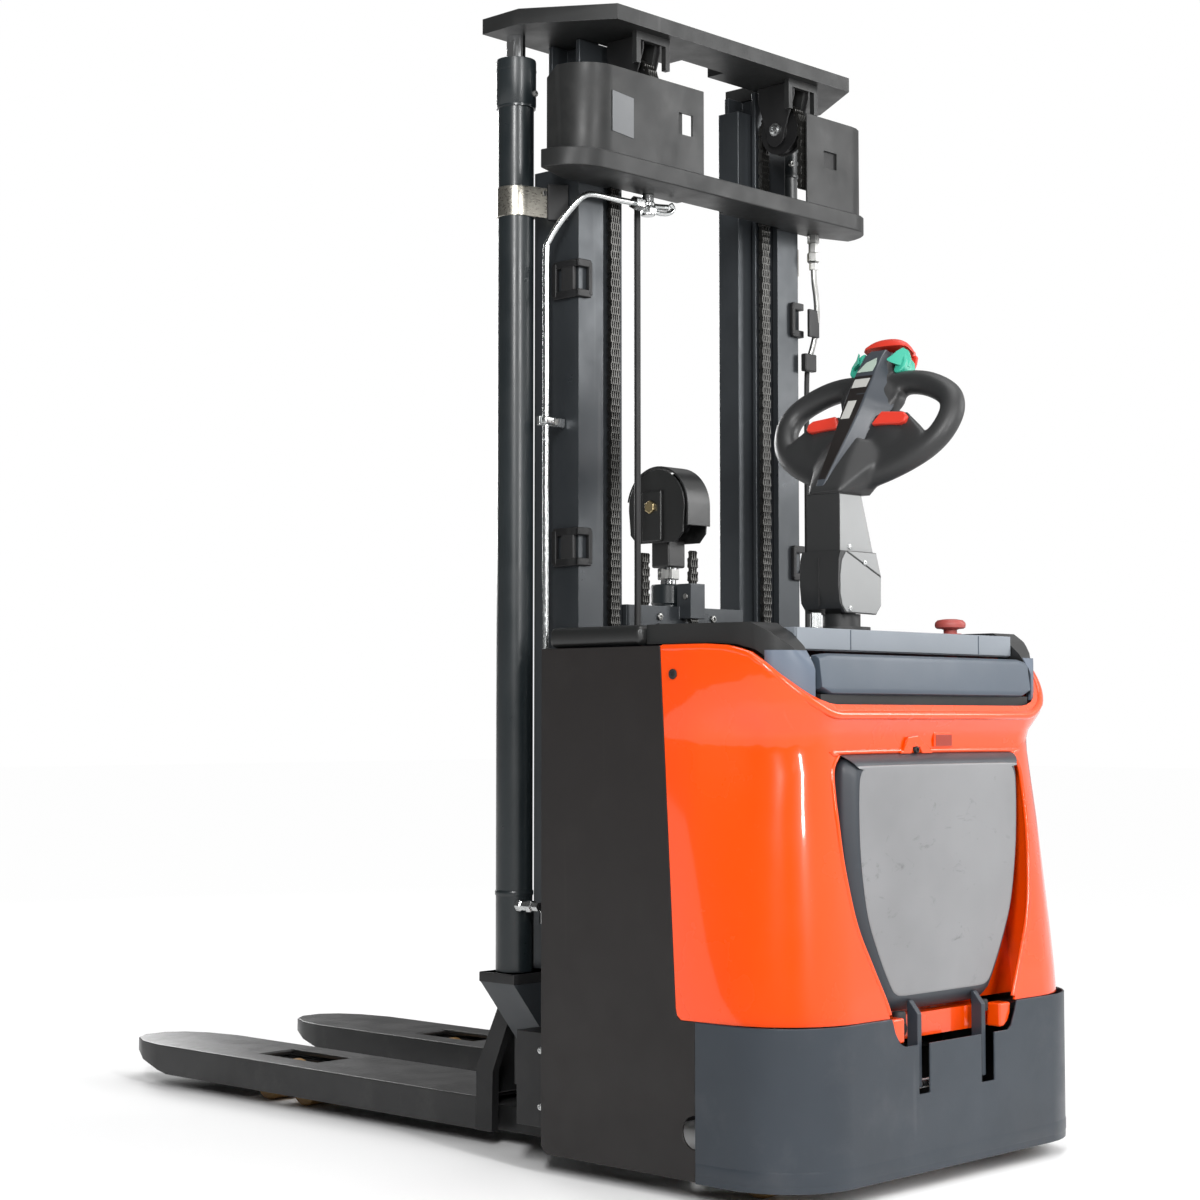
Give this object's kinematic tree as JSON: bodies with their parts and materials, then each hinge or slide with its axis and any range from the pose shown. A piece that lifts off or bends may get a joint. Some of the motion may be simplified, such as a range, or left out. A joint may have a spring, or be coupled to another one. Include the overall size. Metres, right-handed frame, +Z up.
{
  "type": "walkie stacker",
  "caption": "Electric walkie stacker with fold-up operator platform, three-stage free-lift mast, hooded drive body, steering tiller and low forks on tandem rollers.",
  "frame": {"origin": "on the floor, below the centre of the bounding box", "axes": "+Z up, +Y towards the fork tips, +X to the truck's right"},
  "size_m": [0.87, 1.954, 2.02],
  "materials": {
    "frame": "satin",
    "battery_case": "matte",
    "pump_metal": "satin",
    "tray": "satin",
    "slate": "satin",
    "cover": "satin",
    "hood_paint": "gloss",
    "skirt_paint": "satin",
    "red_plastic": "satin",
    "bright_steel": "satin",
    "mast_paint": "satin",
    "chain_steel": "oiled",
    "hose_rubber": "matte",
    "drive_iron": "matte",
    "polyurethane": "matte",
    "tiller_plastic": "satin",
    "teal_plastic": "satin",
    "platform_skin": "satin",
    "panel_black": "satin",
    "chrome_rod": "polished"
  },
  "bodies": {
    "chassis": {"chassis_frame": "frame", "side_panel_left": "panel_black", "side_panel_right": "panel_black", "skirt": "skirt_paint", "hood": "hood_paint", "console": "tray", "rear_cowl": "cover", "storage_panel": "slate", "battery": "battery_case", "hydraulic_unit": "pump_metal", "outer_mast_left": "mast_paint", "outer_mast_right": "mast_paint", "tie_plate": "mast_paint", "mast_cover_left": "mast_paint", "mast_cover_right": "mast_paint", "lift_cylinder_left": "frame", "lift_cylinder_right": "frame", "hydraulic_pipe": "bright_steel", "mast_hose_left": "hose_rubber", "mast_hose_right": "hose_rubber"},
    "battery_cover": {"battery_cover": "cover"},
    "emergency_stop": {"emergency_stop": "red_plastic"},
    "key": {"key_switch": "bright_steel"},
    "intermediate_stage": {"intermediate_mast_left": "mast_paint", "intermediate_mast_right": "mast_paint", "top_plate": "mast_paint", "lift_rod_left": "chrome_rod", "lift_rod_right": "chrome_rod", "lift_chain_left": "chain_steel", "lift_chain_right": "chain_steel"},
    "sheave_left": {"chain_sheave_left": "bright_steel"},
    "sheave_right": {"chain_sheave_right": "bright_steel"},
    "inner_stage": {"inner_mast_left": "mast_paint", "inner_mast_right": "mast_paint", "inner_crossbeam": "mast_paint", "freelift_cylinder": "frame"},
    "freelift": {"freelift_head": "cover", "freelift_chain_rear": "chain_steel", "freelift_chain_front": "chain_steel"},
    "carriage": {"carriage_frame": "mast_paint", "fork_left": "frame", "fork_right": "frame"},
    "steering": {"drive_unit": "drive_iron", "tiller_base": "tiller_plastic"},
    "drive_wheel": {"drive_wheel": "polyurethane"},
    "tiller": {"tiller_arm": "tiller_plastic", "tiller_head": "tiller_plastic"},
    "paddles": {"drive_paddles": "teal_plastic"},
    "belly_switch": {"belly_switch": "red_plastic"},
    "lift_button": {"lift_button": "red_plastic"},
    "lower_button": {"lower_button": "red_plastic"},
    "platform": {"platform": "platform_skin"},
    "caster_left": {"caster_fork_left": "bright_steel"},
    "caster_wheel_left": {"caster_wheel_left": "polyurethane"},
    "roller_left_front": {"load_roller_left_front": "polyurethane"},
    "roller_left_rear": {"load_roller_left_rear": "polyurethane"},
    "caster_right": {"caster_fork_right": "bright_steel"},
    "caster_wheel_right": {"caster_wheel_right": "polyurethane"},
    "roller_right_front": {"load_roller_right_front": "polyurethane"},
    "roller_right_rear": {"load_roller_right_rear": "polyurethane"}
  },
  "joints": [
    {"name": "mast_lift", "type": "slide", "parent": "chassis", "child": "intermediate_stage", "axis": [0, 0, 1], "range_m": [0, 1.3]},
    {"name": "inner_lift", "type": "slide", "parent": "intermediate_stage", "child": "inner_stage", "axis": [0, 0, 1], "range_m": [0, 1.3]},
    {"name": "carriage_lift", "type": "slide", "parent": "inner_stage", "child": "carriage", "axis": [0, 0, 1], "range_m": [0, 1.3]},
    {"name": "free_lift", "type": "slide", "parent": "inner_stage", "child": "freelift", "axis": [0, 0, 1], "range_m": [0, 0.65]},
    {"name": "sheave_left_spin", "type": "hinge", "parent": "intermediate_stage", "child": "sheave_left", "pos_m": [-0.2135, -0.439, 1.904], "axis": [1, 0, 0], "continuous": true},
    {"name": "sheave_right_spin", "type": "hinge", "parent": "intermediate_stage", "child": "sheave_right", "pos_m": [0.2135, -0.439, 1.904], "axis": [1, 0, 0], "continuous": true},
    {"name": "steer", "type": "hinge", "parent": "chassis", "child": "steering", "pos_m": [0, -0.77, 0.28], "axis": [0, 0, 1], "range_deg": [-180, 0]},
    {"name": "drive_wheel_spin", "type": "hinge", "parent": "steering", "child": "drive_wheel", "pos_m": [0, -0.77, 0.115], "axis": [0, 1, 0], "continuous": true},
    {"name": "tiller_pitch", "type": "hinge", "parent": "steering", "child": "tiller", "pos_m": [-0.045, -0.77, 1], "axis": [0, 1, 0], "range_deg": [0, 75], "stiffness_Nm_per_rad": 14, "springref_deg": -20.05},
    {"name": "paddle_turn", "type": "hinge", "parent": "tiller", "child": "paddles", "pos_m": [0.08512, -0.77, 1.38889], "axis": [0, -1, 0], "range_deg": [-20, 20], "stiffness_Nm_per_rad": 0.6},
    {"name": "belly_press", "type": "slide", "parent": "tiller", "child": "belly_switch", "axis": [-0.4462, 0, -0.8949], "range_m": [0, 0.006], "stiffness_N_per_m": 600, "springref_m": -0.003},
    {"name": "lift_press", "type": "slide", "parent": "tiller", "child": "lift_button", "axis": [0.8949, 0, -0.4462], "range_m": [0, 0.003], "stiffness_N_per_m": 500, "springref_m": -0.002},
    {"name": "lower_press", "type": "slide", "parent": "tiller", "child": "lower_button", "axis": [0.8949, 0, -0.4462], "range_m": [0, 0.003], "stiffness_N_per_m": 500, "springref_m": -0.002},
    {"name": "emergency_press", "type": "slide", "parent": "chassis", "child": "emergency_stop", "axis": [0, 0, -1], "range_m": [0, 0.006]},
    {"name": "key_turn", "type": "hinge", "parent": "chassis", "child": "key", "pos_m": [-0.2, -0.84, 0.92], "axis": [0, 0, 1], "range_deg": [0, 60]},
    {"name": "battery_cover_hinge", "type": "hinge", "parent": "chassis", "child": "battery_cover", "pos_m": [0, -0.43, 0.9], "axis": [-1, 0, 0], "range_deg": [0, 75]},
    {"name": "platform_fold", "type": "hinge", "parent": "chassis", "child": "platform", "pos_m": [0, -0.955, 0.17], "axis": [1, 0, 0], "range_deg": [0, 90]},
    {"name": "caster_left_swivel", "type": "hinge", "parent": "chassis", "child": "caster_left", "pos_m": [-0.31, -0.785, 0.245], "axis": [0, 0, 1], "continuous": true},
    {"name": "caster_left_spin", "type": "hinge", "parent": "caster_left", "child": "caster_wheel_left", "pos_m": [-0.31, -0.816, 0.05], "axis": [1, 0, 0], "continuous": true},
    {"name": "roller_left_front_spin", "type": "hinge", "parent": "chassis", "child": "roller_left_front", "pos_m": [-0.217, 0.53, 0.037], "axis": [1, 0, 0], "continuous": true},
    {"name": "roller_left_rear_spin", "type": "hinge", "parent": "chassis", "child": "roller_left_rear", "pos_m": [-0.217, 0.415, 0.037], "axis": [1, 0, 0], "continuous": true},
    {"name": "caster_right_swivel", "type": "hinge", "parent": "chassis", "child": "caster_right", "pos_m": [0.31, -0.785, 0.245], "axis": [0, 0, 1], "continuous": true},
    {"name": "caster_right_spin", "type": "hinge", "parent": "caster_right", "child": "caster_wheel_right", "pos_m": [0.31, -0.816, 0.05], "axis": [1, 0, 0], "continuous": true},
    {"name": "roller_right_front_spin", "type": "hinge", "parent": "chassis", "child": "roller_right_front", "pos_m": [0.217, 0.53, 0.037], "axis": [1, 0, 0], "continuous": true},
    {"name": "roller_right_rear_spin", "type": "hinge", "parent": "chassis", "child": "roller_right_rear", "pos_m": [0.217, 0.415, 0.037], "axis": [1, 0, 0], "continuous": true}
  ],
  "couplings": [
    {"joint": "inner_lift", "follows": "mast_lift", "ratio": 1},
    {"joint": "free_lift", "follows": "carriage_lift", "ratio": 0.5},
    {"joint": "sheave_left_spin", "follows": "mast_lift", "rad_per_m": -20.62},
    {"joint": "sheave_right_spin", "follows": "mast_lift", "rad_per_m": -20.62}
  ]
}
